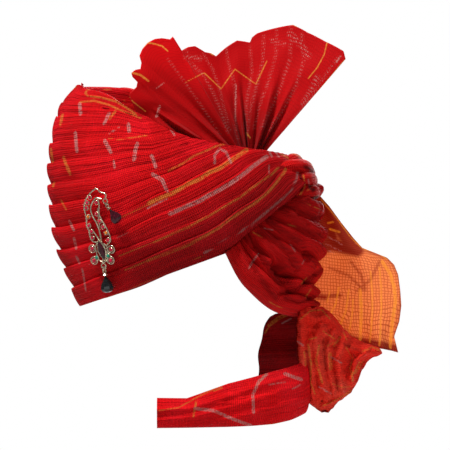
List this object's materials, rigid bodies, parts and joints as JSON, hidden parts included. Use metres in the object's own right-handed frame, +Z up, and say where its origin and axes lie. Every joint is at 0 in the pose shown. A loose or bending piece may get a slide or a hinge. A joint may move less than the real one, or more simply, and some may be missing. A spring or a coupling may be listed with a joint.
{
  "type": "tied turban pagri",
  "caption": "Turban of pleated red cloth crossed at the forehead, with rolls at the back, an upright pleated fan, a hanging tail and a jewelled pin.",
  "frame": {"origin": "middle of the head's opening, on the plane of the turban's rim at the forehead and the ears", "axes": "+Z up, -Y to the wearer's front, +X to the wearer's left; the head is bowed 20 degrees forward"},
  "size_m": [0.212, 0.3546, 0.4021],
  "materials": {
    "red_crepe": "light crepe with metallic stripes",
    "red_rolls": "light crepe twisted into rolls",
    "red_under": "plain crepe",
    "red_organza": "pleated organza with metallic stripes",
    "gold_organza": "sheer organza",
    "gilt": "oxidised gilt",
    "ruby_glass": "cut glass",
    "orange_glass": "cut glass",
    "green_glass": "cut glass",
    "garnet_glass": "cut glass",
    "black_glass": "faceted glass"
  },
  "bodies": {
    "root": {"back_knot": "red_rolls", "back_loop": "red_rolls", "back_roll_1": "red_rolls", "back_roll_2": "red_rolls", "back_roll_3": "red_rolls", "back_roll_4": "red_rolls", "back_roll_5": "red_rolls", "back_roll_6": "red_rolls", "brooch_frame": "gilt", "crown_base": "red_under", "fan_main": "red_organza", "fan_side": "red_organza", "far_band": "red_crepe", "green_stone_1": "green_glass", "green_stone_2": "green_glass", "loop_stone_1": "ruby_glass", "loop_stone_2": "ruby_glass", "loop_stone_3": "ruby_glass", "loop_stone_4": "ruby_glass", "main_cap": "gilt", "main_drop": "black_glass", "main_link": "gilt", "marquise": "garnet_glass", "near_band": "red_crepe", "side_cap": "gilt", "side_drop": "garnet_glass", "side_link": "gilt", "stone_1": "ruby_glass", "stone_10": "ruby_glass", "stone_11": "ruby_glass", "stone_12": "orange_glass", "stone_13": "ruby_glass", "stone_2": "ruby_glass", "stone_3": "ruby_glass", "stone_4": "orange_glass", "stone_5": "ruby_glass", "stone_6": "ruby_glass", "stone_7": "ruby_glass", "stone_8": "ruby_glass", "stone_9": "ruby_glass", "tail_collar": "red_under", "tail_gather": "red_crepe", "tail_veil": "gold_organza", "tail_wrap": "red_crepe"}
  },
  "joints": []
}
